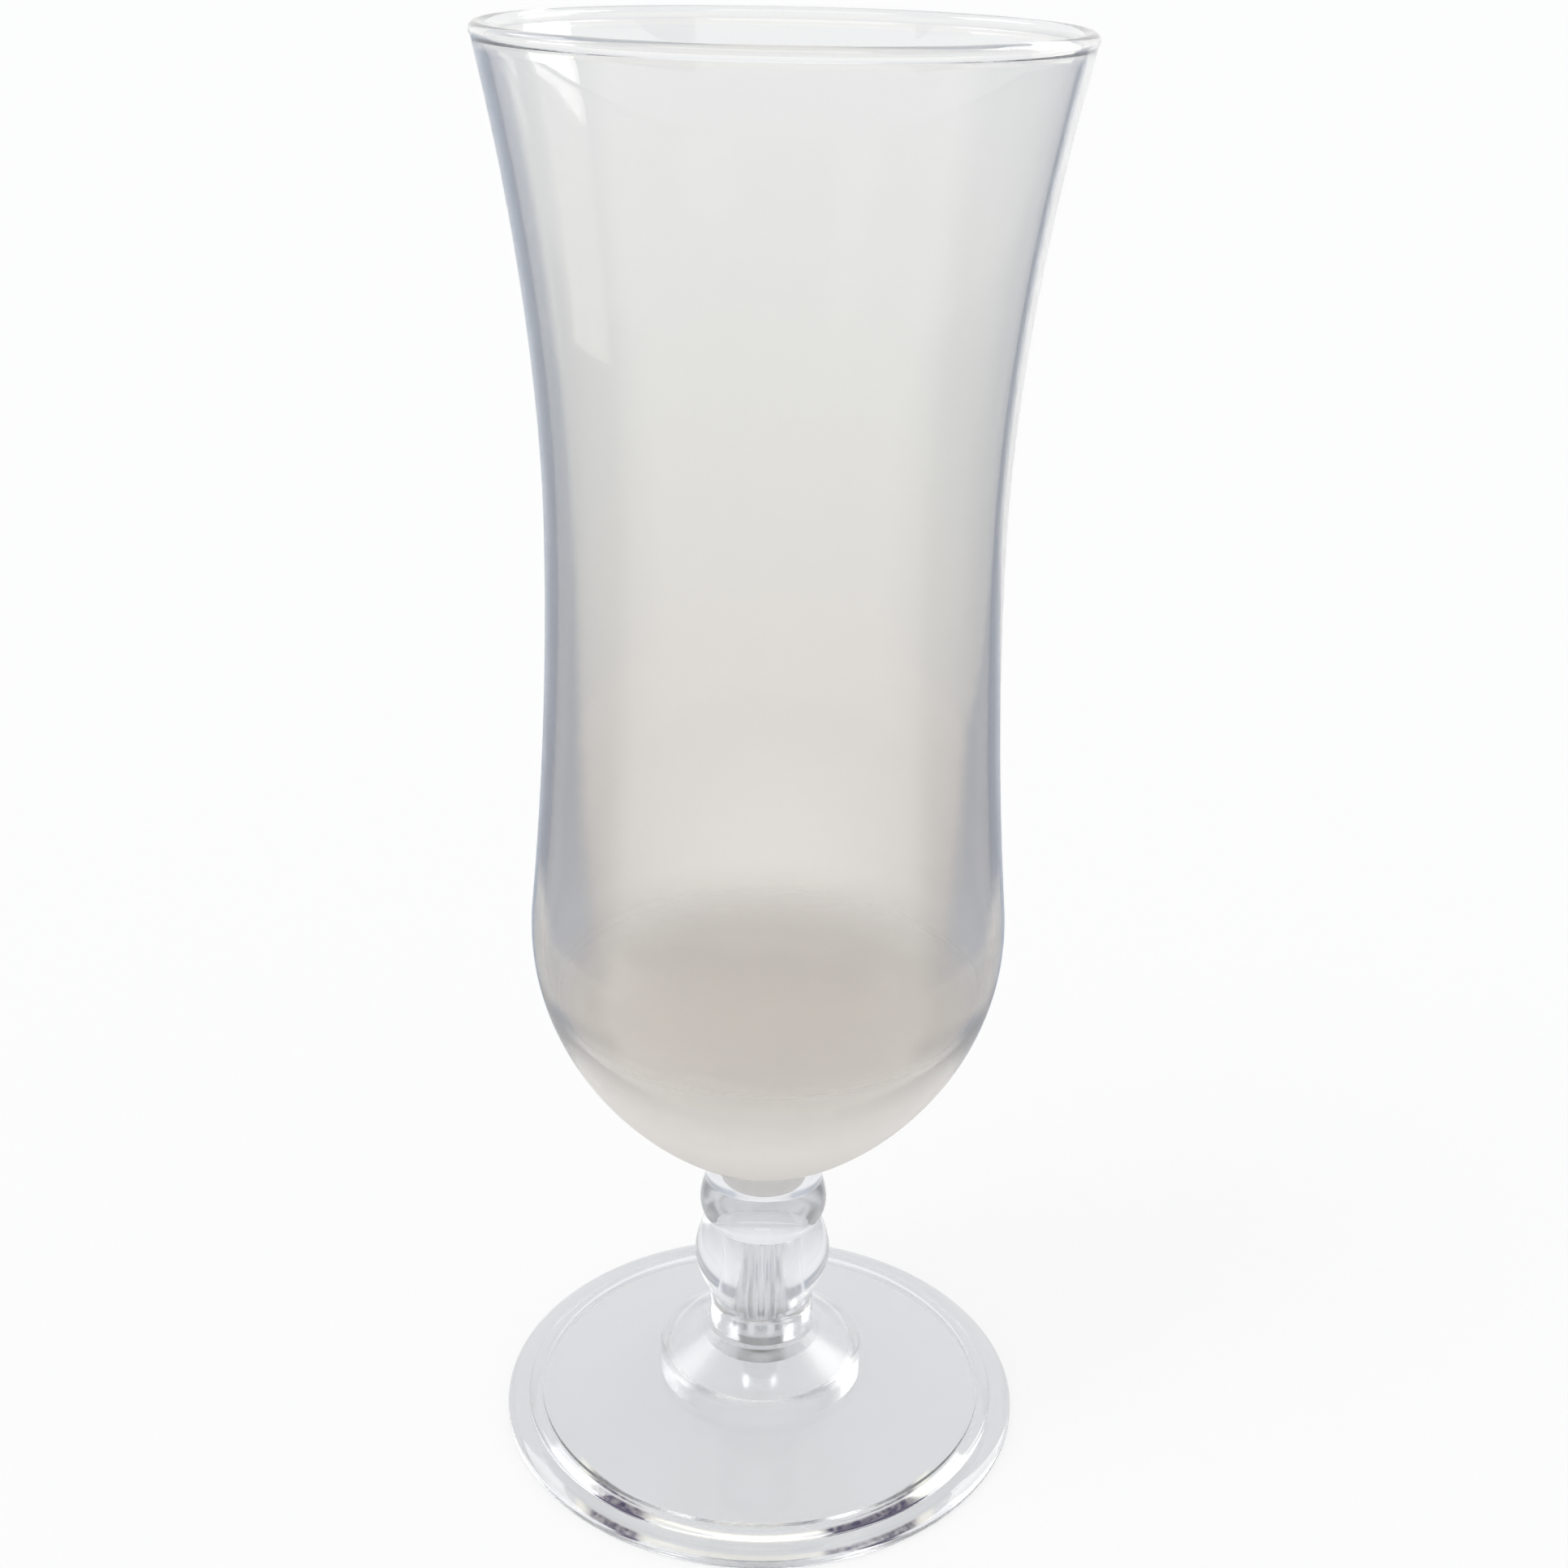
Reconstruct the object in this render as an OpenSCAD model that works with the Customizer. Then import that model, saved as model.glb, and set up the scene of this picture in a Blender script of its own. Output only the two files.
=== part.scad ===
// A footed hurricane glass in three mouldings: a tall waisted bowl, a knopped stem and a round foot.
// The origin is at the centre of the foot's underside, where the glass stands on the table.

/* [Bowl] */
// Diameter across the outside of the rim
rim_d = 75.4; // [68:0.1:82]
// Diameter at the waist, the narrowest place above the belly
waist_d = 60.4; // [56:0.1:64]
// Diameter at the belly, the widest place above the base
belly_d = 66; // [65:0.5:72]
// Height of the rim above the seat on the stem
bowl_h = 156.9; // [140:0.1:180]
// Height of the waist above the seat
waist_h = 94.5; // [84:0.5:106]
// Height of the belly above the seat
belly_h = 41; // [36:0.5:48]
// Power of the flare's curve: at 2 it is a parabola, and less bends it nearer the waist
flare_bend = 1.85; // [1.7:0.05:2.2]
// Thickness of the wall
wall = 1.6; // [1.2:0.1:2.4]
// How far the rounded bead at the rim stands out on each side of the wall
lip_proud = 0.2; // [0.1:0.05:0.4]
// Thickness of the solid base under the drink
base_t = 9.5; // [7:0.5:13]
// Diameter of the flat ring under the bowl that sits on the stem
seat_d = 17.8; // [17.4:0.1:19]
// Angle at which the round base leaves the seat
base_angle = 25; // [15:1:32]

/* [Nib under the bowl] */
// Diameter of the tapered nib where it leaves the bowl
nib_d = 12.4; // [10:0.1:14]
// Diameter of the nib near its end
nib_end_d = 7.4; // [5:0.1:9]
// Length of the nib
nib_l = 5.6; // [4:0.1:7]
// Radius of the rounded end of the nib
nib_round = 1.2; // [0.6:0.1:2]

/* [Stem] */
// Height of the stem from the foot to the bowl's seat
stem_h = 30.5; // [29:0.5:34]
// Diameter of the neck that carries the bowl
neck_d = 17.2; // [16.4:0.1:17.4]
// Diameter of the collar bead below the neck
collar_d = 18.8; // [18:0.1:21]
// Height of the widest line of the collar bead above the foot
collar_h = 21.9; // [21:0.1:23]
// Length of the neck's smooth rise from the collar bead
neck_rise = 5.1; // [4:0.1:6]
// Diameter in the notch between the collar bead and the knop
notch_d = 16.9; // [15.5:0.1:17.2]
// Height of the notch above the foot
notch_h = 18.95; // [18:0.05:19.8]
// Diameter of the knop at its widest
knop_d = 20.2; // [18.5:0.1:23]
// Height of the knop's widest line above the foot
knop_h = 12.6; // [11:0.1:14]
// Diameter at the bottom of the knop
knop_foot_d = 14.2; // [13.4:0.1:15]
// Height of the bottom of the knop above the foot
knop_foot_h = 5.3; // [5:0.1:6.5]
// Diameter of the ring that stands on the foot
ring_d = 15.4; // [15.1:0.1:17]
// Radius of the ring's rounded edges
ring_round = 0.7; // [0.3:0.1:1]

/* [Foot] */
// Diameter of the foot
foot_d = 77.6; // [74:0.1:84]
// Thickness of the foot at its outer step
outer_step_h = 2; // [1.6:0.1:2.4]
// Diameter where the outer step ends and the inner step rises
outer_step_d = 71.2; // [69.5:0.1:72]
// Height of the inner step
inner_step_h = 3; // [2.6:0.1:3.4]
// Diameter where the inner step ends and the plate rises
inner_step_d = 67.2; // [66:0.1:68.5]
// Height of the foot's upright side
foot_edge_h = 0.9; // [0.9:0.1:1.4]
// Height of the plate's top at its outer edge
plate_h = 3.6; // [3.5:0.1:4.4]
// Height of the plate's top where it meets the hub
plate_hub_h = 6.4; // [5.6:0.1:7]
// Thickness of the plate
plate_t = 2; // [1.6:0.1:2.4]
// Diameter of the hub disc
hub_d = 31; // [29:0.5:34]
// Height of the hub's top at the rounded edge
hub_edge_h = 10.4; // [9.6:0.1:11]
// Radius of the hub's rounded edge
hub_round = 1.5; // [0.8:0.1:1.8]
// Height of the flat landing that the stem stands on
hub_h = 14; // [12.5:0.1:15]
// Diameter of the flat landing
landing_d = 16.4; // [15.8:0.1:17.4]
// Inner diameter of the flat ring that rests on the table
rest_inner_d = 66.6; // [64:0.1:68]
// Radius of the rounded edge between the table and the side of the foot
foot_round = 0.5; // [0.2:0.1:0.8]
// Thickness of the hub's roof over the hollow, measured upright
hub_roof_t = 2.8; // [2.2:0.1:3.2]
// Thickness of the hub's side wall
hub_wall = 2.4; // [1.8:0.1:3]

/* [Spigot of the foot] */
// Diameter of the spigot's round core
spigot_d = 6.4; // [5.6:0.1:6.8]
// Length of the spigot above the landing
spigot_l = 16; // [12:0.5:16.5]
// How far the grip ribs stand out of the spigot
rib_proud = 0.5; // [0.3:0.05:0.6]
// Radius of each round grip rib
rib_r = 0.8; // [0.7:0.05:1]
// Number of grip ribs
rib_n = 8; // [6:1:10]
// Diameter of the gate stub under the hub
stub_d = 5; // [4:0.1:5.6]
// Height of the gate stub's end above the table
stub_end_h = 1.5; // [1:0.1:2]

/* [Fits] */
// Radial clearance between the nib and its cup, and between the ribs and their socket
press_gap = 0.05; // [0.03:0.01:0.1]
// Free space past the end of the nib and of the spigot
end_gap = 0.6; // [0.4:0.1:0.7]

/* [Hidden] */
$fn = 96;

// Steps along a long curve, along a short one and round a small edge
long_n = 16;
short_n = 10;
edge_n = 6;

// Power of the curve from the waist down to the belly
belly_bend = 2;

// How far each handle of the base's curves reaches, as a share of the belly's height
belly_reach_share = 0.54;
seat_reach_share = 0.23;
drink_reach_share = 0.56;
floor_reach_share = 0.4;

// How much of the flange outside the outer step is rounded over, as a share of its width
foot_bead_share = 0.6;

// Angle from level at which the hub's rounded edge meets its sloping roof
hub_edge_angle = 60;

// Rim, waist and belly as radii, the rim's bead with the place where it meets the wall, and the
// height of the seat above the table
rim_r = rim_d / 2;
waist_r = waist_d / 2;
belly_r = belly_d / 2;
lip_r = wall / 2 + lip_proud;
lip_join = acos(wall / 2 / lip_r);
lip_low_h = bowl_h - lip_r - lip_r * sin(lip_join);
seat_z = hub_h + stem_h;
belly_slope = belly_bend * (belly_r - waist_r) / (waist_h - belly_h);

// Points on a cubic curve with end points a and d and handles b and c
function curve(a, b, c, d, n) = [
    for (i = [0:n])
        let (t = i / n, u = 1 - t)
        u * u * u * a + 3 * u * u * t * b + 3 * u * t * t * c + t * t * t * d
];

// Points on a power curve that leaves its narrowest point upright and bends out to its end point
function flare(narrow, end, bend, n) = [
    for (i = [0:n])
        let (t = i / n)
        [narrow[0] + (end[0] - narrow[0]) * pow(t, bend), narrow[1] + (end[1] - narrow[1]) * t]
];

// Points on a quarter wave that leaves its crest point upright and turns in to its end point
function swell(crest, end, n) = [
    for (i = [0:n])
        let (t = i / n)
        [crest[0] + (end[0] - crest[0]) * (1 - cos(90 * t)), crest[1] + (end[1] - crest[1]) * t]
];

// Points on a half wave that is upright at both of its ends
function ease(from, to, n) = [
    for (i = [0:n])
        let (t = i / n)
        [from[0] + (to[0] - from[0]) * (1 - cos(180 * t)) / 2, from[1] + (to[1] - from[1]) * t]
];

// Points on an arc about a centre, from one angle to another
function arc(centre, r, from, to, n) = [
    for (i = [0:n])
        let (a = from + (to - from) * i / n)
        centre + r * [cos(a), sin(a)]
];

// The same points in the opposite order
function back(points) = [for (i = [len(points) - 1:-1:0]) points[i]];

// The side of the bowl at a given depth inside its outer face, from the belly up to the lip
function bowl_side(inset) = concat(
    back(flare([waist_r - inset, waist_h], [belly_r - inset, belly_h], belly_bend, short_n)),
    flare([waist_r - inset, waist_h], [rim_r - lip_proud - inset, lip_low_h], flare_bend, long_n)
);

// The round base of the bowl outside, from the seat up to the belly
function base_outside() = back(curve(
    [belly_r, belly_h],
    [belly_r, belly_h] + belly_reach_share * belly_h * [belly_slope, -1],
    [seat_d / 2, 0] + seat_reach_share * belly_h * [cos(base_angle), sin(base_angle)],
    [seat_d / 2, 0],
    long_n
));

// The round floor inside the bowl, from the belly down to the axis
function floor_inside() = curve(
    [belly_r - wall, belly_h],
    [belly_r - wall, belly_h] + drink_reach_share * belly_h * [belly_slope, -1],
    [floor_reach_share * belly_h, base_t],
    [0, base_t],
    long_n
);

// The tapered nib with a rounded end, seen from the axis out to the seat
function nib_outline(gap, extra_l) = concat(
    [[0, -nib_l - extra_l]],
    arc(
        [nib_end_d / 2 + gap - nib_round, nib_round - nib_l - extra_l],
        nib_round, -90, 0, edge_n
    ),
    [[nib_d / 2 + gap, 0]]
);

module bowl() {
    color([0.87, 0.87, 0.86, 0.85])
    translate([0, 0, seat_z])
    rotate_extrude()
    polygon(concat(
        nib_outline(0, 0),
        base_outside(),
        bowl_side(0),
        arc([rim_r - lip_r, bowl_h - lip_r], lip_r, -lip_join, 180 + lip_join, edge_n),
        back(bowl_side(wall)),
        floor_inside()
    ));
}

module stem() {
    ring_r = ring_d / 2;
    ring_top = knop_foot_h - ring_round;
    color([0.93, 0.95, 0.97, 0.35])
    translate([0, 0, hub_h])
    difference() {
        rotate_extrude()
        polygon(concat(
            [[0, 0]],
            arc([ring_r - ring_round, ring_round], ring_round, -90, 0, edge_n),
            arc([ring_r - ring_round, ring_top - ring_round], ring_round, 0, 90, edge_n),
            [[knop_foot_d / 2, ring_top]],
            back(swell([knop_d / 2, knop_h], [knop_foot_d / 2, knop_foot_h], short_n)),
            swell([knop_d / 2, knop_h], [notch_d / 2, notch_h], short_n),
            back(swell([collar_d / 2, collar_h], [notch_d / 2, notch_h], edge_n)),
            ease([collar_d / 2, collar_h], [neck_d / 2, collar_h + neck_rise], short_n),
            [[neck_d / 2, stem_h]],
            [for (p = back(nib_outline(press_gap, end_gap))) p + [0, stem_h]]
        ));
        translate([0, 0, -end_gap])
        cylinder(h = spigot_l + 2 * end_gap, d = socket_d());
    }
}

// The socket takes the spigot over its ribs
function socket_d() = spigot_d + 2 * rib_proud + 2 * press_gap;

module foot() {
    foot_r = foot_d / 2;
    hub_r = hub_d / 2;
    hollow_r = hub_r - hub_wall;
    landing_r = landing_d / 2;
    bead_r = foot_r - foot_bead_share * (foot_r - outer_step_d / 2);
    edge = arc([hub_r - hub_round, hub_edge_h - hub_round], hub_round, hub_edge_angle, 0, edge_n);
    roof_slope = (hub_h - edge[0][1]) / (edge[0][0] - landing_r);
    roof_z = hub_h - hub_roof_t;
    color([0.93, 0.95, 0.97, 0.35]) {
        rotate_extrude()
        polygon(concat(
            [[0, hub_h], [landing_r, hub_h]],
            edge,
            [[hub_r, plate_hub_h], [inner_step_d / 2, plate_h]],
            back(swell([outer_step_d / 2, outer_step_h], [inner_step_d / 2, inner_step_h], short_n)),
            back(swell([foot_r, foot_edge_h], [bead_r, outer_step_h], short_n)),
            arc([foot_r - foot_round, foot_round], foot_round, 0, -90, edge_n),
            [[rest_inner_d / 2, 0], [rest_inner_d / 2, plate_h - plate_t]],
            [[hollow_r, plate_hub_h - plate_t], [hollow_r, roof_z - roof_slope * (hollow_r - landing_r)]],
            [[landing_r, roof_z], [stub_d / 2, roof_z], [stub_d / 2, stub_end_h], [0, stub_end_h]]
        ));
        translate([0, 0, hub_h])
        spigot();
    }
}

// The round spigot with grip ribs spaced evenly round it
module spigot() {
    cylinder(h = spigot_l, d = spigot_d);
    for (i = [0:rib_n - 1])
        rotate(360 * i / rib_n)
        translate([spigot_d / 2 + rib_proud - rib_r, 0, 0])
        cylinder(h = spigot_l, r = rib_r, $fn = 24);
}

bowl();
stem();
foot();
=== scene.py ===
import math

import bpy
from mathutils import Matrix, Vector


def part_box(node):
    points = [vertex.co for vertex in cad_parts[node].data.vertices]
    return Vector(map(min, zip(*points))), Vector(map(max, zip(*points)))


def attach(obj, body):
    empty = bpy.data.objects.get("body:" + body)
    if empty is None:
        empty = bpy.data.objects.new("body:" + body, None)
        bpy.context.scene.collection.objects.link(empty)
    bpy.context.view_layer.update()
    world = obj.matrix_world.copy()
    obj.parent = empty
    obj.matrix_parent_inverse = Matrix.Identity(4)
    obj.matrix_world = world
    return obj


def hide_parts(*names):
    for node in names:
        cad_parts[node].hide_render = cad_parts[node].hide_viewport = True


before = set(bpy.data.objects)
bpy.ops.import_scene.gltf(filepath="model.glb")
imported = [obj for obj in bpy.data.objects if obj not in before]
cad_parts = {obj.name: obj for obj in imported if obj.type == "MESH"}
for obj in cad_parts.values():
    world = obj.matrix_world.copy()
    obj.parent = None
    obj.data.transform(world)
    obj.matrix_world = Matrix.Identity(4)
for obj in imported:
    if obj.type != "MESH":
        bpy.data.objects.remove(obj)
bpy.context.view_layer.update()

# Sizes in metres. The frame gives where each piece starts and ends.
bowl_low, bowl_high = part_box("bowl")
stem_low, stem_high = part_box("stem")
foot_low, foot_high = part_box("foot")
MM = 0.001
TURN_STEPS = 144
SHARP_ANGLE = 32
LONG_STEPS = 40
SHORT_STEPS = 16
EDGE_STEPS = 8

# The bowl
SEAT_Z = stem_high.z
RIM_Z = bowl_high.z
BOWL_H = RIM_Z - SEAT_Z
RIM_R = bowl_high.x
WAIST_R = 30.2 * MM
WAIST_H = 94.5 * MM
BELLY_R = 33 * MM
BELLY_H = 41 * MM
FLARE_BEND = 1.85
BELLY_BEND = 2
BELLY_SLOPE = BELLY_BEND * (BELLY_R - WAIST_R) / (WAIST_H - BELLY_H)
WALL = 1.6 * MM
LIP_PROUD = 0.2 * MM
LIP_R = WALL / 2 + LIP_PROUD
LIP_JOIN = math.degrees(math.acos(WALL / 2 / LIP_R))
LIP_LOW_H = BOWL_H - LIP_R - LIP_R * math.sin(math.radians(LIP_JOIN))
BASE_T = 9.5 * MM
SEAT_R = 8.9 * MM
BASE_ANGLE = 25
NIB_R = 6.2 * MM
NIB_END_R = 3.7 * MM
NIB_L = SEAT_Z - bowl_low.z
NIB_ROUND = 1.2 * MM
BELLY_REACH_SHARE = 0.54
SEAT_REACH_SHARE = 0.23
DRINK_REACH_SHARE = 0.56
FLOOR_REACH_SHARE = 0.4

# The stem
HUB_Z = stem_low.z
STEM_H = SEAT_Z - HUB_Z
NECK_R = 8.6 * MM
COLLAR_R = 9.4 * MM
COLLAR_H = 21.9 * MM
NECK_RISE = 5.1 * MM
NOTCH_R = 8.45 * MM
NOTCH_H = 18.95 * MM
KNOP_R = stem_high.x
KNOP_H = 12.6 * MM
KNOP_FOOT_R = 7.1 * MM
KNOP_FOOT_H = 5.3 * MM
RING_R = 7.7 * MM
RING_ROUND = 0.7 * MM
RING_START_ANGLE = -88

# The foot
FOOT_R = foot_high.x
OUTER_STEP_H = 2 * MM
OUTER_STEP_R = 35.6 * MM
INNER_STEP_H = 3 * MM
INNER_STEP_R = 33.6 * MM
FOOT_EDGE_H = 0.9 * MM
FOOT_BEAD_SHARE = 0.6
PLATE_H = 3.6 * MM
PLATE_HUB_H = 6.4 * MM
PLATE_T = 2 * MM
HUB_R = 15.5 * MM
HUB_EDGE_H = 10.4 * MM
HUB_ROUND = 1.5 * MM
LANDING_R = 8.2 * MM
REST_INNER_R = 33.3 * MM
FOOT_ROUND = 0.5 * MM
HUB_EDGE_ANGLE = 60
HUB_ROOF_T = 2.8 * MM
HUB_WALL = 2.4 * MM
SPIGOT_R = 3.2 * MM
SPIGOT_L = foot_high.z - HUB_Z
RIB_PROUD = 0.5 * MM
RIB_R = 0.8 * MM
RIB_N = 8
STUB_R = 2.5 * MM
STUB_END_H = 1.5 * MM
PRESS_GAP = 0.05 * MM
END_GAP = 0.6 * MM

# Touching faces are drawn this far apart, so that light meets them one after the other
FACE_GAP = 0.03 * MM
# A long straight stretch of an outline gets a point this near each end, which keeps it flat when smoothed
HOLD = 0.05 * MM
HOLD_FROM = 1.8 * MM
# Points nearer than this are one point
SAME_POINT = HOLD / 10
# The side of the plane that a piece is started from
SEED = 2 * MM
# A face with more than this in its upright share looks up
FACING_UP = 0.5

# The looks. Each tint is red, green and blue. Each noise is its features in a metre and its detail,
# and each ripple has its strength after them. Each span is the part of the noise that counts.
PLASTIC_IOR = 1.49
PLAIN_GLOSS = 0.5
RIPPLE_DEPTH = 0.1 * MM
STEM_TINTS = (0.935, 0.945, 0.96), (0.955, 0.962, 0.972)
STEM_SEE_THROUGH = 0.88
FOOT_TINTS = (0.935, 0.943, 0.955), (0.955, 0.96, 0.968)
FOOT_SEE_THROUGH = 1
CLEAR_TINT_SCALE = 90
CLEAR_ROUGH = 0.04, 0.08
CLEAR_ROUGH_NOISE = 260, 4
CLEAR_ROUGH_SPAN = 0.3, 0.8
CLEAR_RIPPLE = 700, 3, 0.02
MIDDLE_ROUGH = 0.13
MIDDLE_REACH = INNER_STEP_R * 0.5, INNER_STEP_R * 0.9
WALL_SEE_THROUGH = 0.92
# The bowl's own faint tint at shares of the way from the seat to the rim, with painted shade in it: darker
# and warmer low on the wall, for the darker surroundings seen through it
BOWL_TINT_AND_PAINTED_SHADE = (
    (0.0, (0.98, 0.96, 0.935)),
    (0.12, (0.975, 0.955, 0.93)),
    (0.25, (0.955, 0.93, 0.9)),
    (0.35, (0.9, 0.873, 0.84)),
    (0.7, (0.922, 0.917, 0.892)),
    (1.0, (0.947, 0.947, 0.939)),
)
PALE_SHARE = 0.04
PALE_SCALE = 60
BOWL_RIPPLE = 300, 2, 0.01
# The base is milky all through at the second share of that way, and as clear as the wall at the first
MILK_SHARES = 0.21, 0.08
MILK_TINT = (0.985, 0.96, 0.93)
MILK_ROUGH = 0.5
MILK_GLOSS = 0.2
LIT_THROUGH_TINT = (0.985, 0.96, 0.925)
LIT_THROUGH_SHARE = 0.35
NIB_TINT = (0.93, 0.89, 0.85)
NIB_MILK = 0.55

# The room. Its floor is white for the camera, and gloss and glass see it painted. Turns are in degrees
# from +Y, which is behind the glass, towards +X. Each pair is where a change starts and where it ends.
# The reach is the distance from the middle of the foot, in metres. Where a third number follows, all three
# are in millimetres, and it says how soft the two ends are.
WHITE = (1, 1, 1)
FLOOR_DROP = 0.1 * MM
FLOOR_HALF = 6
FLOOR_TINT = (0.95, 0.95, 0.95)
FLOOR_GLOW = 0.75
AHEAD_TINT = (0.98, 0.985, 1)
SIDE_TINT = (0.5, 0.55, 0.64)
DEEP_SIDE_TINT = (0.3, 0.33, 0.4)
LEFT_TURNS = -15, -19
RIGHT_TURNS = 15.5, 31
RIGHT_REACH = 0.3, 0.5
RIGHT_SOFT_TURN = 4
FRONT_TURNS = 115, 95
DEEP_TURNS = 22, 40
BESIDE_TURNS = 32, 36
BESIDE_REACH = 120, 230, 20
FOOT_REACH = 0.08, 0.1
FAR_REACH = 1.2, 5
# Painted shade on the pale floor towards the sides near the glass
SHADE_TURN = 20
SHADE_BEND = 1.5
SHADE_DEPTH = 0.2
SHADE_REACH = 0.2
# A painted shadow: the floor is this much darker under the foot, out to the reach on the next line
PAINTED_FOOT_SHADOW = 0.82
PAINTED_FOOT_SHADOW_REACH = FOOT_R, FOOT_R * 1.3

# What the beads of the foot pick up in front, painted on the floor: rings of cream, which are painted
# light, with dark patches, which are painted reflections of dark things
PAINTED_LIGHT_TINT = (1, 0.98, 0.9)
# The colour of the painted reflections of dark things
DARK_REFLECTION_TINT = (0.06, 0.045, 0.11)
PAINTED_LIGHT_RINGS = (31, 34.2, 0.5), (36.2, 38.4, 0.5)
FRONT_WIDTH = -26, 25, 1
# Where the painted dark reflections lie across the front
PAINTED_DARK_REFLECTIONS = (-24, -16.5, 2.5), (9.5, 22.5, 2)
# Streaks that break up the painted dark reflections
STREAK_NOISE = 900, 3
STREAK_SPAN = 0.3, 0.6
STREAK_LOW = 0.55

# The sky: white for the camera, and from the horizon up to the ceiling for gloss and glass
CEILING = (
    (0.0, WHITE),
    (0.12, WHITE),
    (0.3, (0.94, 0.95, 0.97)),
    (0.7, (0.9, 0.9, 0.92)),
    (1.0, (0.76, 0.77, 0.8)),
)
DAYLIGHT_TINT = (0.98, 0.99, 1)
DAYLIGHT = 0.87

# Cards on a circle round the glass: turns, heights, tint and strength
CARD_R = 0.9
CARD_STEPS = 12
WINDOW_TINT = (1, 1, 0.98)
CARDS = (
    ("window_card", (50, 80), (0.32, 0.72), WINDOW_TINT, 5),
    ("top_window_card", (50, 90), (0.72, 1.1), WINDOW_TINT, 5),
    ("left_window_card", (-48, -94), (0.62, 1.1), WHITE, 4),
    ("left_curtain_card", (-95, -122), (0.5, 1.4), (0.12, 0.1, 0.16), 1),
    ("right_curtain_card", (91, 141), (0.5, 1.4), (0.1, 0.09, 0.14), 1),
    ("lamp_card", (-123, -217), (0.95, 1.7), (1, 0.97, 0.88), 2.5),
    ("sill_card", (50, 80), (0.06, 0.32), (1, 0.98, 0.95), 2),
)

# The lamp, the camera and how often light may turn
SUN_AIM = (0.5, 0.3, -1)
SUN_STRENGTH = 0.42
SUN_SPREAD = 25
CAMERA_PLACE = (0, -0.274, 0.2177)
CAMERA_PITCH = 22.79
CAMERA_ROLL = 1.19
CAMERA_YAW = 0.38
CAMERA_LENS = 49.64
CAMERA_SENSOR = 36
CAMERA_NEAR = 0.01
LIGHT_BOUNCES = 24
GLOSS_BOUNCES = 12


# Outlines: lists of points as (radius, height)
def curve(a, b, c, d, steps):
    """A cubic curve from a to d with the handles b and c."""
    points = []
    for i in range(steps + 1):
        t = i / steps
        u = 1 - t
        points.append(tuple(
            u ** 3 * p + 3 * u * u * t * q + 3 * u * t * t * r + t ** 3 * s
            for p, q, r, s in zip(a, b, c, d)
        ))
    return points


def flare(narrow, end, bend, steps):
    """A power curve that leaves its narrowest point upright and bends out to its end."""
    width = end[0] - narrow[0]
    height = end[1] - narrow[1]
    shares = [i / steps for i in range(steps + 1)]
    return [(narrow[0] + width * t ** bend, narrow[1] + height * t) for t in shares]


def swell(crest, end, steps):
    """A quarter wave that leaves its crest upright and turns in to its end."""
    shares = [i / steps for i in range(steps + 1)]
    return [
        (
            crest[0] + (end[0] - crest[0]) * (1 - math.cos(math.pi / 2 * t)),
            crest[1] + (end[1] - crest[1]) * t,
        )
        for t in shares
    ]


def ease(start, end, steps):
    """A half wave that is upright at both of its ends."""
    shares = [i / steps for i in range(steps + 1)]
    return [
        (
            start[0] + (end[0] - start[0]) * (1 - math.cos(math.pi * t)) / 2,
            start[1] + (end[1] - start[1]) * t,
        )
        for t in shares
    ]


def arc(centre, radius, start, end, steps):
    """An arc about a centre, from one angle in degrees to another."""
    angles = [math.radians(start + (end - start) * i / steps) for i in range(steps + 1)]
    return [(centre[0] + radius * math.cos(a), centre[1] + radius * math.sin(a)) for a in angles]


def back(points):
    """The same points in the opposite order."""
    return points[::-1]


def raised(points, height):
    """The same points moved up."""
    return [(r, z + height) for r, z in points]


def held(points):
    """The outline without repeated points, and with a point near both ends of each long stretch."""
    kept = [points[0]]
    for r, z in points[1:]:
        last_r, last_z = kept[-1]
        length = math.hypot(r - last_r, z - last_z)
        if length < SAME_POINT:
            continue
        if length > HOLD_FROM:
            for way in (HOLD / length, 1 - HOLD / length):
                kept.append((last_r + (r - last_r) * way, last_z + (z - last_z) * way))
        kept.append((r, z))
    return kept


# Modelling
def choose_points(piece, test):
    """Selects the points whose place passes a test, and leaves the piece in edit mode."""
    bpy.ops.mesh.select_all(action="DESELECT")
    bpy.ops.object.mode_set(mode="OBJECT")
    for point in piece.data.vertices:
        point.select = test(point.co)
    bpy.ops.object.mode_set(mode="EDIT")


def spun_line(name, line, steps, angle, **settings):
    """A piece in edit mode: a point is extruded along a line, which is then spun about the upright axis."""
    start = Vector(line[0])
    bpy.ops.object.select_all(action="DESELECT")
    bpy.ops.mesh.primitive_plane_add(size=SEED, location=start - Vector((SEED / 2, SEED / 2, 0)))
    piece = bpy.context.object
    piece.name = piece.data.name = name
    bpy.ops.object.transform_apply(location=True, rotation=False, scale=False)
    bpy.ops.object.mode_set(mode="EDIT")
    bpy.ops.mesh.select_mode(type="VERT")
    choose_points(piece, lambda place: (place - start).length > SEED / 2)
    bpy.ops.mesh.delete(type="VERT")
    bpy.ops.mesh.select_all(action="SELECT")
    for first, last in zip(line, line[1:]):
        way = [q - p for p, q in zip(first, last)]
        bpy.ops.mesh.extrude_region_move(TRANSFORM_OT_translate={"value": way})
    bpy.ops.mesh.select_all(action="SELECT")
    bpy.ops.mesh.spin(steps=steps, angle=angle, center=(0, 0, 0), axis=(0, 0, 1), **settings)
    return piece


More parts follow.
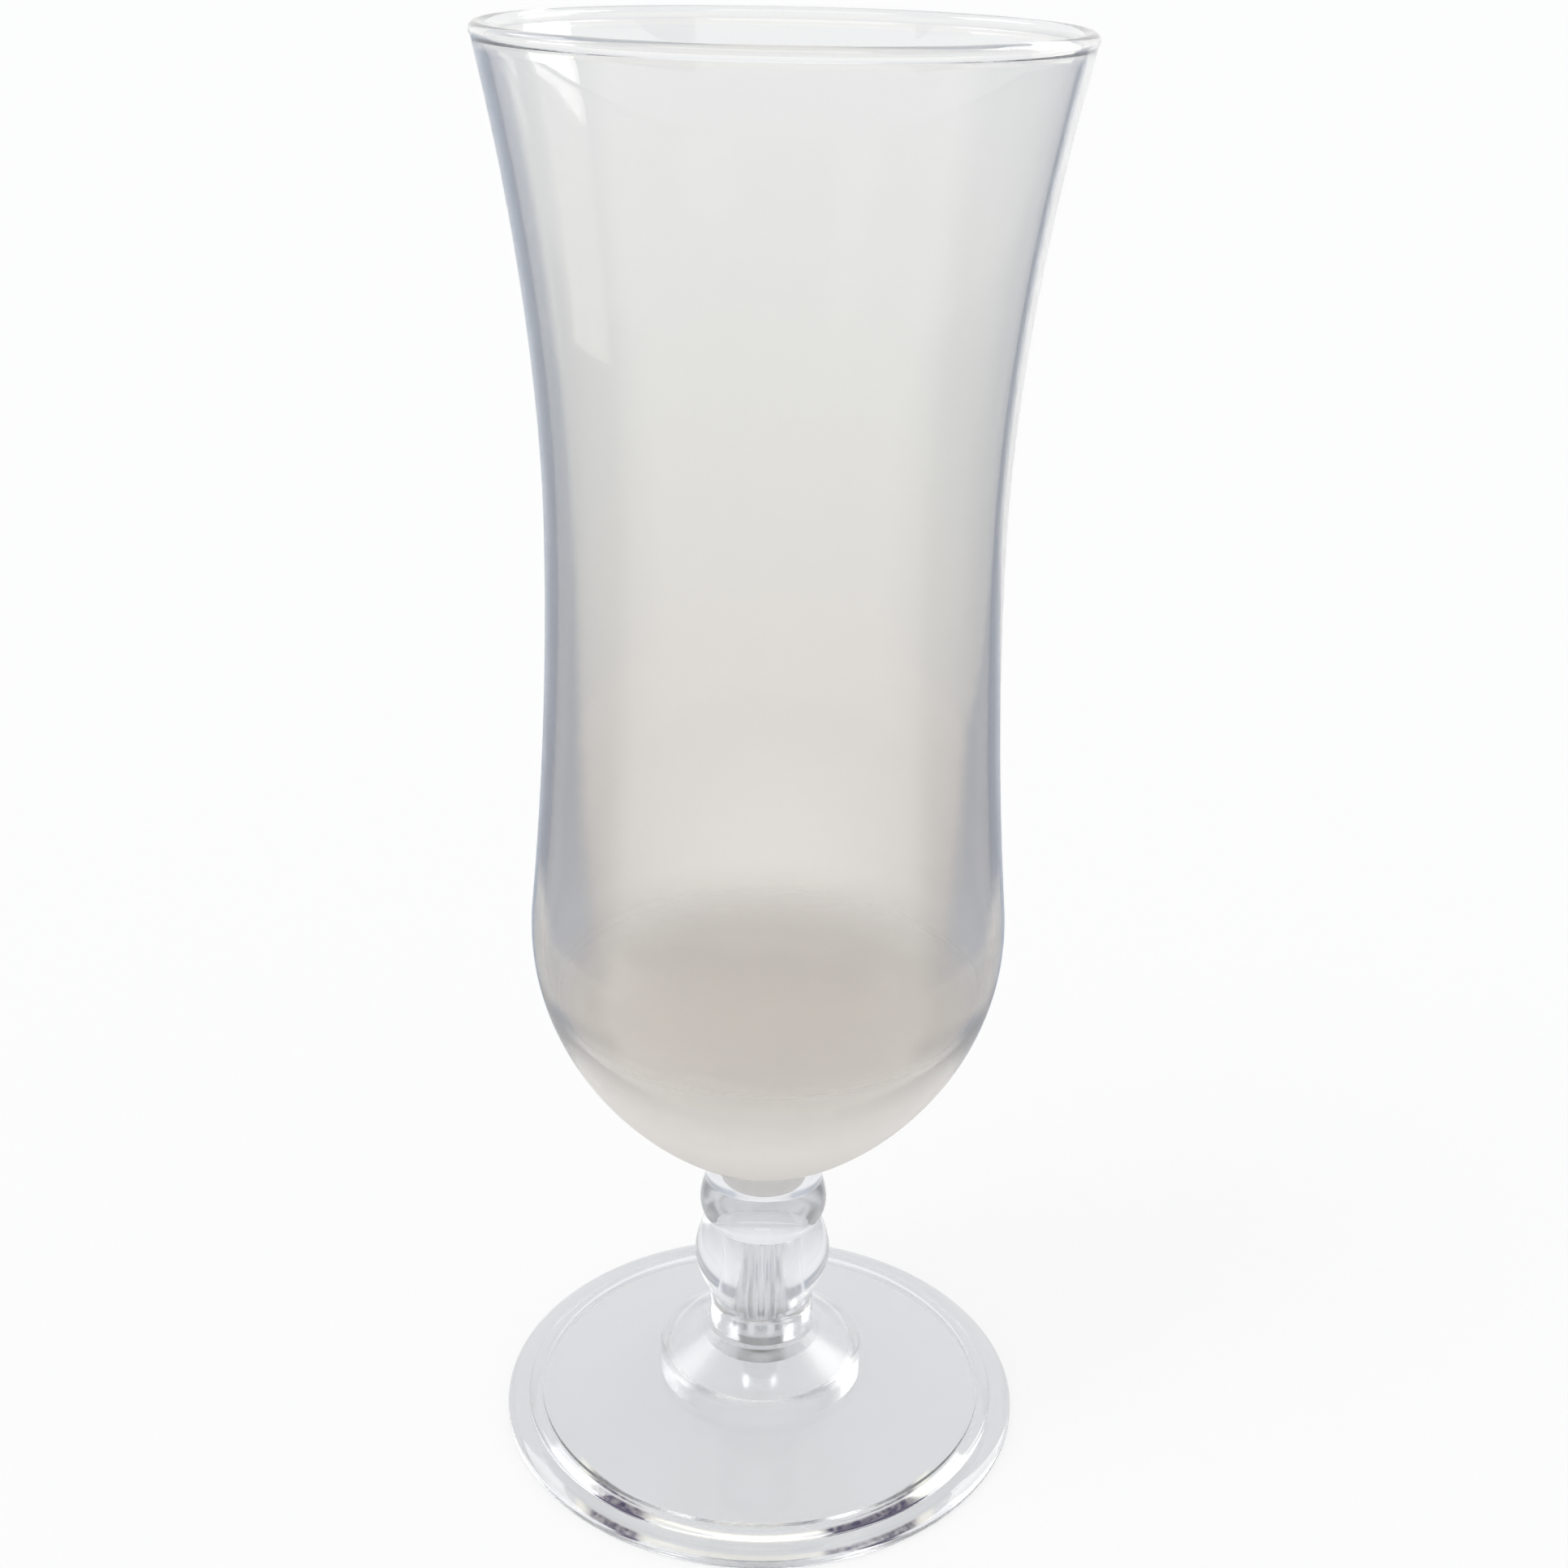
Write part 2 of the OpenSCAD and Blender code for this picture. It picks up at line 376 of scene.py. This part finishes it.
def turned(name, outline):
    """A closed piece that is turned from an outline, all the way round."""
    line = [(r, 0, z) for r, z in outline]
    piece = spun_line(name, line, TURN_STEPS, 2 * math.pi, use_auto_merge=True)
    bpy.ops.mesh.select_all(action="SELECT")
    bpy.ops.mesh.remove_doubles(threshold=SAME_POINT)
    bpy.ops.mesh.normals_make_consistent(inside=False)
    bpy.ops.object.mode_set(mode="OBJECT")
    bpy.ops.object.shade_smooth_by_angle(angle=math.radians(SHARP_ANGLE))
    return piece


def dressed(piece, material, *patches):
    """Gives a piece its material. Each patch is another material and a test for the faces that have it."""
    piece.data.materials.append(material)
    for number, (other, test) in enumerate(patches, 1):
        piece.data.materials.append(other)
        for face in piece.data.polygons:
            if test(face):
                face.material_index = number


def bowl_side(inset):
    """The side of the bowl at a depth inside its outer face, from the belly up to the lip."""
    waist = (WAIST_R - inset, WAIST_H)
    lip = (RIM_R - LIP_PROUD - inset, LIP_LOW_H)
    return (
        back(flare(waist, (BELLY_R - inset, BELLY_H), BELLY_BEND, SHORT_STEPS))
        + flare(waist, lip, FLARE_BEND, LONG_STEPS)
    )


def base_outside():
    """The round base of the bowl outside, from the seat up to the belly."""
    reach = BELLY_REACH_SHARE * BELLY_H
    seat_reach = SEAT_REACH_SHARE * BELLY_H
    angle = math.radians(BASE_ANGLE)
    return back(curve(
        (BELLY_R, BELLY_H),
        (BELLY_R + reach * BELLY_SLOPE, BELLY_H - reach),
        (SEAT_R + seat_reach * math.cos(angle), seat_reach * math.sin(angle)),
        (SEAT_R, 0),
        LONG_STEPS,
    ))


def floor_inside():
    """The round floor inside the bowl, from the belly down to the axis."""
    reach = DRINK_REACH_SHARE * BELLY_H
    return curve(
        (BELLY_R - WALL, BELLY_H),
        (BELLY_R - WALL + reach * BELLY_SLOPE, BELLY_H - reach),
        (FLOOR_REACH_SHARE * BELLY_H, BASE_T),
        (0, BASE_T),
        LONG_STEPS,
    )


def nib_outline(gap, extra):
    """The tapered nib with a rounded end, from the axis out to the seat."""
    centre = (NIB_END_R + gap - NIB_ROUND, NIB_ROUND - NIB_L - extra)
    return [(0, -NIB_L - extra)] + arc(centre, NIB_ROUND, -90, 0, EDGE_STEPS) + [(NIB_R + gap, 0)]


def make_bowl():
    """The bowl with its beaded lip, its solid base and the nib under it."""
    lip = arc((RIM_R - LIP_R, BOWL_H - LIP_R), LIP_R, -LIP_JOIN, 180 + LIP_JOIN, 3 * EDGE_STEPS)
    outline = (
        nib_outline(0, 0)
        + base_outside()
        + bowl_side(0)
        + lip
        + back(bowl_side(WALL))
        + floor_inside()
    )
    return turned("hurricane_bowl", raised(held(outline), SEAT_Z))


def make_stem():
    """The stem: ring, knop, notch, collar bead and neck, with the nib's cup and the spigot's socket."""
    socket_r = SPIGOT_R + RIB_PROUD + PRESS_GAP
    ring_top = KNOP_FOOT_H - RING_ROUND
    top = STEM_H - FACE_GAP
    cup = back(nib_outline(PRESS_GAP, END_GAP))
    outline = (
        [(0, SPIGOT_L + END_GAP), (socket_r, SPIGOT_L + END_GAP), (socket_r, FACE_GAP)]
        + arc((RING_R - RING_ROUND, RING_ROUND), RING_ROUND, RING_START_ANGLE, 0, EDGE_STEPS)
        + arc((RING_R - RING_ROUND, ring_top - RING_ROUND), RING_ROUND, 0, 90, EDGE_STEPS)
        + [(KNOP_FOOT_R, ring_top)]
        + back(swell((KNOP_R, KNOP_H), (KNOP_FOOT_R, KNOP_FOOT_H), SHORT_STEPS))
        + swell((KNOP_R, KNOP_H), (NOTCH_R, NOTCH_H), SHORT_STEPS)
        + back(swell((COLLAR_R, COLLAR_H), (NOTCH_R, NOTCH_H), EDGE_STEPS))
        + ease((COLLAR_R, COLLAR_H), (NECK_R, COLLAR_H + NECK_RISE), SHORT_STEPS)
        + [(NECK_R, top), (cup[0][0], top)]
        + raised(cup[1:], STEM_H)
    )
    return turned("knopped_stem", raised(held(outline), HUB_Z))


def rib_reach(angle):
    """How far the ribbed spigot reaches at an angle from the nearest rib, as a share of its core."""
    centre = SPIGOT_R + RIB_PROUD - RIB_R
    across = centre * math.sin(angle)
    if across >= RIB_R:
        return 1
    return max(1, (centre * math.cos(angle) + math.sqrt(RIB_R ** 2 - across ** 2)) / SPIGOT_R)


def make_foot():
    """The foot: stepped rim, plate, hub and hollow underside, with the ribbed spigot on top."""
    hollow_r = HUB_R - HUB_WALL
    bead_r = FOOT_R - FOOT_BEAD_SHARE * (FOOT_R - OUTER_STEP_R)
    edge = arc((HUB_R - HUB_ROUND, HUB_EDGE_H - HUB_ROUND), HUB_ROUND, HUB_EDGE_ANGLE, 0, EDGE_STEPS)
    roof_slope = (HUB_Z - edge[0][1]) / (edge[0][0] - LANDING_R)
    roof_z = HUB_Z - HUB_ROOF_T
    outline = (
        [(0, HUB_Z + SPIGOT_L), (SPIGOT_R, HUB_Z + SPIGOT_L), (SPIGOT_R, HUB_Z), (LANDING_R, HUB_Z)]
        + edge
        + [(HUB_R, PLATE_HUB_H), (INNER_STEP_R, PLATE_H)]
        + back(swell((OUTER_STEP_R, OUTER_STEP_H), (INNER_STEP_R, INNER_STEP_H), SHORT_STEPS))
        + back(swell((FOOT_R, FOOT_EDGE_H), (bead_r, OUTER_STEP_H), SHORT_STEPS))
        + arc((FOOT_R - FOOT_ROUND, FOOT_ROUND), FOOT_ROUND, 0, -90, EDGE_STEPS)
        + [(REST_INNER_R, 0), (REST_INNER_R, PLATE_H - PLATE_T)]
        + [(hollow_r, PLATE_HUB_H - PLATE_T), (hollow_r, roof_z - roof_slope * (hollow_r - LANDING_R))]
        + [(LANDING_R, roof_z), (STUB_R, roof_z), (STUB_R, STUB_END_H), (0, STUB_END_H)]
    )
    piece = turned("round_foot", held(outline))
    pitch = 2 * math.pi / RIB_N
    step = 2 * math.pi / TURN_STEPS
    bpy.ops.object.mode_set(mode="EDIT")
    for number in range(round(pitch / 2 / step) + 1):
        share = rib_reach(number * step)
        if share == 1:
            continue

        def on_rib(place):
            """Whether a point is on the spigot's side, and this many steps from the middle of a rib."""
            if place.z < HUB_Z + FACE_GAP or abs(math.hypot(place.x, place.y) - SPIGOT_R) > FACE_GAP:
                return False
            angle = math.atan2(place.y, place.x) % pitch
            return abs(min(angle, pitch - angle) - number * step) < step / 4

        choose_points(piece, on_rib)
        bpy.ops.transform.resize(value=(share, share, 1), center_override=(0, 0, HUB_Z))
    bpy.ops.object.mode_set(mode="OBJECT")
    return piece


# Materials
class Socket:
    """An output of a node. Sums on it add Math nodes to the same material."""

    def __init__(self, look, socket):
        self.look = look
        self.socket = socket

    def math(self, operation, *values):
        """A Math node with this output first."""
        return self.look.node("ShaderNodeMath", {"operation": operation}, *[self, *values])

    def __add__(self, other):
        return self.math("ADD", other)

    def __radd__(self, other):
        return self.look.node("ShaderNodeMath", {"operation": "ADD"}, other, self)

    def __sub__(self, other):
        return self.math("SUBTRACT", other)

    def __rsub__(self, other):
        return self.look.node("ShaderNodeMath", {"operation": "SUBTRACT"}, other, self)

    def __mul__(self, other):
        return self.math("MULTIPLY", other)

    def __rmul__(self, other):
        return self.look.node("ShaderNodeMath", {"operation": "MULTIPLY"}, other, self)

    def __truediv__(self, other):
        return self.math("DIVIDE", other)

    def __rtruediv__(self, other):
        return self.look.node("ShaderNodeMath", {"operation": "DIVIDE"}, other, self)


class Look:
    """A material or the world, and the nodes that are added to it."""

    def __init__(self, name, world=False):
        self.owner = bpy.data.worlds.new(name) if world else bpy.data.materials.new(name)
        self.owner.use_nodes = True
        self.tree = self.owner.node_tree
        self.tree.nodes.clear()
        self.out = self.tree.nodes.new("ShaderNodeOutputWorld" if world else "ShaderNodeOutputMaterial")

    def node(self, kind, settings=None, *inputs, output=0, **named):
        """Adds a node: its type, its settings, its inputs by order or name, and the output to hand back."""
        made = self.tree.nodes.new(kind)
        for key, value in (settings or {}).items():
            if key == "stops":
                ramp = made.color_ramp
                while len(ramp.elements) < len(value):
                    ramp.elements.new(1)
                for element, (place, colour) in zip(ramp.elements, value):
                    element.position = place
                    element.color = (*colour, 1)
            else:
                setattr(made, key, value)
        for key, value in [*enumerate(inputs), *named.items()]:
            if value is None:
                continue
            socket = made.inputs[key if isinstance(key, int) else key.replace("_", " ")]
            if isinstance(value, Socket):
                self.tree.links.new(value.socket, socket)
            elif hasattr(socket.default_value, "__len__") and len(socket.default_value) == 4:
                socket.default_value = (*value, 1) if len(value) == 3 else value
            else:
                socket.default_value = value
        return Socket(self, made.outputs[output])

    def mix(self, factor, first, second):
        """A colour between two colours, which are a Mix node's seventh and eighth sockets."""
        skipped = [None] * 5
        return self.node("ShaderNodeMix", {"data_type": "RGBA"}, factor, *skipped, first, second, output=2)

    def ramp(self, factor, *stops):
        """A colour from a ramp of (place, colour) stops."""
        return self.node("ShaderNodeValToRGB", {"stops": stops}, factor)

    def shade(self, factor, first, second):
        """A shader between two shaders."""
        return self.node("ShaderNodeMixShader", None, factor, first, second)

    def surface(self, shader):
        """Joins the shader to the output and hands back what it was made for."""
        self.tree.links.new(shader.socket, self.out.inputs[0])
        return self.owner


def place_of(look):
    """The place on the piece in metres."""
    return look.node("ShaderNodeTexCoord", output="Object")


def height_of(look):
    """The height of a point above the table in metres."""
    return look.node("ShaderNodeSeparateXYZ", None, place_of(look), output="Z")


def reach_of(look):
    """The distance of a point from the middle of the foot's underside in metres."""
    return look.node("ShaderNodeVectorMath", {"operation": "LENGTH"}, place_of(look), output="Value")


def noise(look, scale, detail=2, roughness=0.5):
    """Even noise from 0 to 1, with its scale in features a metre."""
    return look.node(
        "ShaderNodeTexNoise", {"noise_dimensions": "3D"},
        Vector=place_of(look), Scale=scale, Detail=detail, Roughness=roughness,
    )


def between(look, value, low, high, to_low=0, to_high=1):
    """A value moved from one range to another and kept in it."""
    return look.node("ShaderNodeMapRange", None, value, low, high, to_low, to_high)


def soft_step(look, value, low, high):
    """0 at one value and 1 at the other, with soft ends."""
    return look.node("ShaderNodeMapRange", {"interpolation_type": "SMOOTHSTEP"}, value, low, high, 0, 1)


def turn_step(look, value, low, high):
    """0 at one turn in degrees and 1 at the other, with soft ends, for a value in radians."""
    return soft_step(look, value, math.radians(low), math.radians(high))


def band(look, value, low, high, soft):
    """1 between two values in millimetres, with ends that are this many millimetres soft."""
    rise = soft_step(look, value, (low - soft / 2) * MM, (low + soft / 2) * MM)
    return rise * soft_step(look, value, (high + soft / 2) * MM, (high - soft / 2) * MM)


def ripple(look, scale, detail, strength):
    """The faint unevenness of a moulded face."""
    height = noise(look, scale, detail)
    return look.node("ShaderNodeBump", None, Strength=strength, Distance=RIPPLE_DEPTH, Height=height)


def plastic(look, colour, rough, see_through, bump, gloss=PLAIN_GLOSS):
    """A moulded plastic that lets through a share of the light."""
    return look.node(
        "ShaderNodeBsdfPrincipled", None,
        **{
            "Base Color": colour, "Roughness": rough, "Normal": bump, "IOR": PLASTIC_IOR,
            "Transmission Weight": see_through, "Specular IOR Level": gloss,
        },
    )


def clear_plastic(name, tints, see_through):
    """The clear moulding of the stem or the foot, which is a little rougher near the middle of the foot."""
    look = Look(name)
    colour = look.mix(noise(look, CLEAR_TINT_SCALE), *tints)
    middle = between(look, reach_of(look), *MIDDLE_REACH, MIDDLE_ROUGH, 0)
    rough = between(look, noise(look, *CLEAR_ROUGH_NOISE), *CLEAR_ROUGH_SPAN, *CLEAR_ROUGH) + middle
    return look.surface(plastic(look, colour, rough, see_through, ripple(look, *CLEAR_RIPPLE)))


def milky_plastic():
    """The bowl's plastic: a clear wall with its own faint tint, pale at the rim and darker and warmer low
    on the wall by painted shade, and a milky base.
    """
    look = Look("milky_plastic")
    share = between(look, height_of(look), SEAT_Z, RIM_Z)
    # The plastic's own tint with painted shade, darker and warmer low on the wall
    tint_and_shade = look.ramp(share, *BOWL_TINT_AND_PAINTED_SHADE)
    colour = look.mix(PALE_SHARE, tint_and_shade, look.mix(noise(look, PALE_SCALE), tint_and_shade, WHITE))
    uneven = ripple(look, *BOWL_RIPPLE)
    wall = plastic(look, colour, 0, WALL_SEE_THROUGH, uneven)
    milk = plastic(look, MILK_TINT, MILK_ROUGH, 0, uneven, MILK_GLOSS)
    lit_through = look.node("ShaderNodeBsdfTranslucent", None, LIT_THROUGH_TINT)
    base = look.shade(LIT_THROUGH_SHARE, milk, lit_through)
    return look.surface(look.shade(soft_step(look, share, *MILK_SHARES), wall, base))


def pressed_nib():
    """The nib's face, pressed so tightly that light goes straight on, with some milk in it."""
    look = Look("pressed_nib")
    clear = look.node("ShaderNodeBsdfTransparent")
    milk = look.node("ShaderNodeBsdfPrincipled", None, **{"Base Color": NIB_TINT, "Roughness": MILK_ROUGH})
    return look.surface(look.shade(NIB_MILK, clear, milk))


def pressed_cup():
    """The cup against the nib, which light goes straight through."""
    look = Look("pressed_cup")
    return look.surface(look.node("ShaderNodeBsdfTransparent"))


def on_nib(face):
    """Whether a face of the bowl is on its nib."""
    return face.center.z < SEAT_Z + FACE_GAP / 2


def on_cup(face):
    """Whether a face of the stem is in the nib's cup or on the stem's top."""
    if face.center.z < HUB_Z + SPIGOT_L + 2 * END_GAP:
        return False
    inside = math.hypot(face.center.x, face.center.y) < NIB_R + 2 * PRESS_GAP
    return inside or face.normal.z > FACING_UP


# The studio
def seen_directly(look):
    """1 for what the camera sees straight, in a gloss or through glass, and 0 for light on the object."""
    rays = ("Is Camera Ray", "Is Glossy Ray", "Is Transmission Ray")
    camera, gloss, glass = [look.node("ShaderNodeLightPath", output=ray) for ray in rays]
    return camera.math("MAXIMUM", gloss).math("MAXIMUM", glass)


def room_round(look):
    """The painted floor: pale ahead with a painted shadow under the foot, blue-grey to both sides, and
    painted rings of light and painted dark reflections under the foot's front.
    """
    place = place_of(look)
    x, y = [look.node("ShaderNodeSeparateXYZ", None, place, output=axis) for axis in "XY"]
    reach = reach_of(look)
    turn = x.math("ARCTAN2", y)
    aside = turn.math("ABSOLUTE")

    # The pale part, with a painted shadow under the foot and painted shade towards the sides near the glass
    round_foot = turn_step(look, aside, *FRONT_TURNS) * soft_step(look, reach, *FOOT_REACH)
    # Painted shade towards the sides near the glass
    bent = between(look, aside, 0, math.radians(SHADE_TURN), 0, SHADE_BEND) * round_foot
    nearness = between(look, SHADE_REACH / reach, 0, 1)
    painted_side_shade = 1 - bent * bent * SHADE_DEPTH * nearness * nearness
    # Painted shadow under the foot
    foot_shadow = between(look, reach, *PAINTED_FOOT_SHADOW_REACH, PAINTED_FOOT_SHADOW, 1)
    ahead = look.node("ShaderNodeVectorMath", {"operation": "SCALE"}, AHEAD_TINT, Scale=painted_side_shade * foot_shadow)

    # The sides, which leave out a stretch beside the glass and fade out far away
    left = turn_step(look, turn, *LEFT_TURNS)
    right_edge = between(look, reach, *RIGHT_REACH, *[math.radians(degrees) for degrees in RIGHT_TURNS])
    right = turn_step(look, turn - right_edge, 0, RIGHT_SOFT_TURN)
    beside = turn_step(look, aside, *BESIDE_TURNS) * band(look, reach, *BESIDE_REACH)
    shown = (1 - beside) * between(look, reach, *FAR_REACH, 1, 0)
    side = look.mix(turn_step(look, aside, *DEEP_TURNS), SIDE_TINT, DEEP_SIDE_TINT)
    painted = look.mix(left.math("MAXIMUM", right) * round_foot * shown, ahead, side)

    # The front of the foot: painted rings of light, with painted dark reflections on them
    # Painted rings of light under the foot's beads
    light_rings = band(look, reach, *PAINTED_LIGHT_RINGS[0]) + band(look, reach, *PAINTED_LIGHT_RINGS[1])
    painted_front_mask = light_rings * y.math("LESS_THAN", 0) * band(look, x, *FRONT_WIDTH)
    # Painted dark reflections, broken into streaks
    dark_reflections = band(look, x, *PAINTED_DARK_REFLECTIONS[0]) + band(look, x, *PAINTED_DARK_REFLECTIONS[1])
    streaks = between(look, noise(look, *STREAK_NOISE), *STREAK_SPAN, STREAK_LOW, 1)
    return look.mix(painted_front_mask * dark_reflections * streaks, look.mix(painted_front_mask, painted, PAINTED_LIGHT_TINT), DARK_REFLECTION_TINT)


def make_floor():
    """A wide pale floor just under the foot, which keeps the glass's shadow."""
    bpy.ops.mesh.primitive_plane_add(size=2 * FLOOR_HALF, location=(0, 0, -FLOOR_DROP))
    floor = bpy.context.object
    floor.name = "studio_floor"
    look = Look("studio_floor")
    paper = look.node("ShaderNodeBsdfDiffuse", None, FLOOR_TINT)
    pale = look.shade(FLOOR_GLOW, paper, look.node("ShaderNodeEmission", None, WHITE, 1))
    room = room_round(look)
    dim_room = look.node("ShaderNodeVectorMath", {"operation": "SCALE"}, room, Scale=1 - FLOOR_GLOW)
    painted = look.node(
        "ShaderNodeBsdfPrincipled", None,
        **{
            "Base Color": dim_room, "Roughness": 1, "Specular IOR Level": 0,
            "Emission Color": room, "Emission Strength": FLOOR_GLOW,
        },
    )
    shown = look.shade(look.node("ShaderNodeLightPath", output="Is Camera Ray"), painted, pale)
    floor.data.materials.append(look.surface(look.shade(seen_directly(look), paper, shown)))


def make_world():
    """White for the camera. Gloss and glass see a white horizon under a blue-grey ceiling."""
    look = Look("studio_world", world=True)
    direction = look.node("ShaderNodeTexCoord", output="Generated")
    upward = look.node("ShaderNodeSeparateXYZ", None, direction, output="Z")
    room = look.node("ShaderNodeBackground", None, look.ramp(upward, *CEILING), 1)
    white = look.node("ShaderNodeBackground", None, WHITE, 1)
    daylight = look.node("ShaderNodeBackground", None, DAYLIGHT_TINT, DAYLIGHT)
    shown = look.shade(look.node("ShaderNodeLightPath", output="Is Camera Ray"), room, white)
    bpy.context.scene.world = look.surface(look.shade(seen_directly(look), daylight, shown))


def make_card(name, turns, heights, colour, strength):
    """A curved card that only gloss and glass see, between two turns and two heights."""
    start, end = [math.radians(turn) for turn in turns]
    line = [(CARD_R * math.sin(start), CARD_R * math.cos(start), height) for height in heights]
    card = spun_line(name, line, CARD_STEPS, end - start)
    bpy.ops.object.mode_set(mode="OBJECT")
    look = Look(name)
    card.data.materials.append(look.surface(look.node("ShaderNodeEmission", None, colour, strength)))
    card.visible_camera = card.visible_diffuse = card.visible_shadow = False


def make_sun():
    """A soft lamp far away, which gloss and glass don't see."""
    data = bpy.data.lights.new("daylight", "SUN")
    data.energy = SUN_STRENGTH
    data.angle = math.radians(SUN_SPREAD)
    lamp = bpy.data.objects.new("daylight", data)
    bpy.context.scene.collection.objects.link(lamp)
    lamp.rotation_euler = Vector(SUN_AIM).to_track_quat("-Z", "Y").to_euler()
    lamp.visible_glossy = lamp.visible_transmission = False


def make_camera():
    """The photograph's view: a little above the rim, looking down, and slightly rolled."""
    data = bpy.data.cameras.new("camera")
    data.sensor_width = CAMERA_SENSOR
    data.lens = CAMERA_LENS
    data.clip_start = CAMERA_NEAR
    camera = bpy.data.objects.new("camera", data)
    bpy.context.scene.collection.objects.link(camera)
    turn = Matrix.Rotation(math.radians(-CAMERA_YAW), 4, "Z")
    tilt = Matrix.Rotation(math.radians(90 - CAMERA_PITCH), 4, "X")
    roll = Matrix.Rotation(math.radians(CAMERA_ROLL), 4, "Z")
    camera.matrix_world = Matrix.Translation(CAMERA_PLACE) @ turn @ tilt @ roll
    bpy.context.scene.camera = camera


# The glass
bowl = make_bowl()
stem = make_stem()
foot = make_foot()
dressed(bowl, milky_plastic(), (pressed_nib(), on_nib))
dressed(stem, clear_plastic("stem_plastic", STEM_TINTS, STEM_SEE_THROUGH), (pressed_cup(), on_cup))
dressed(foot, clear_plastic("foot_plastic", FOOT_TINTS, FOOT_SEE_THROUGH))
for piece, node, slot in (
    (bowl, "bowl", "milky_plastic"),
    (stem, "stem", "clear_plastic"),
    (foot, "foot", "clear_plastic"),
):
    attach(piece, "root")
    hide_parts(node)

# The studio round it
make_floor()
make_world()
for card in CARDS:
    make_card(*card)
make_sun()
make_camera()
scene = bpy.context.scene
scene.view_settings.view_transform = "Standard"
scene.cycles.max_bounces = LIGHT_BOUNCES
scene.cycles.transmission_bounces = LIGHT_BOUNCES
scene.cycles.transparent_max_bounces = LIGHT_BOUNCES
scene.cycles.glossy_bounces = GLOSS_BOUNCES
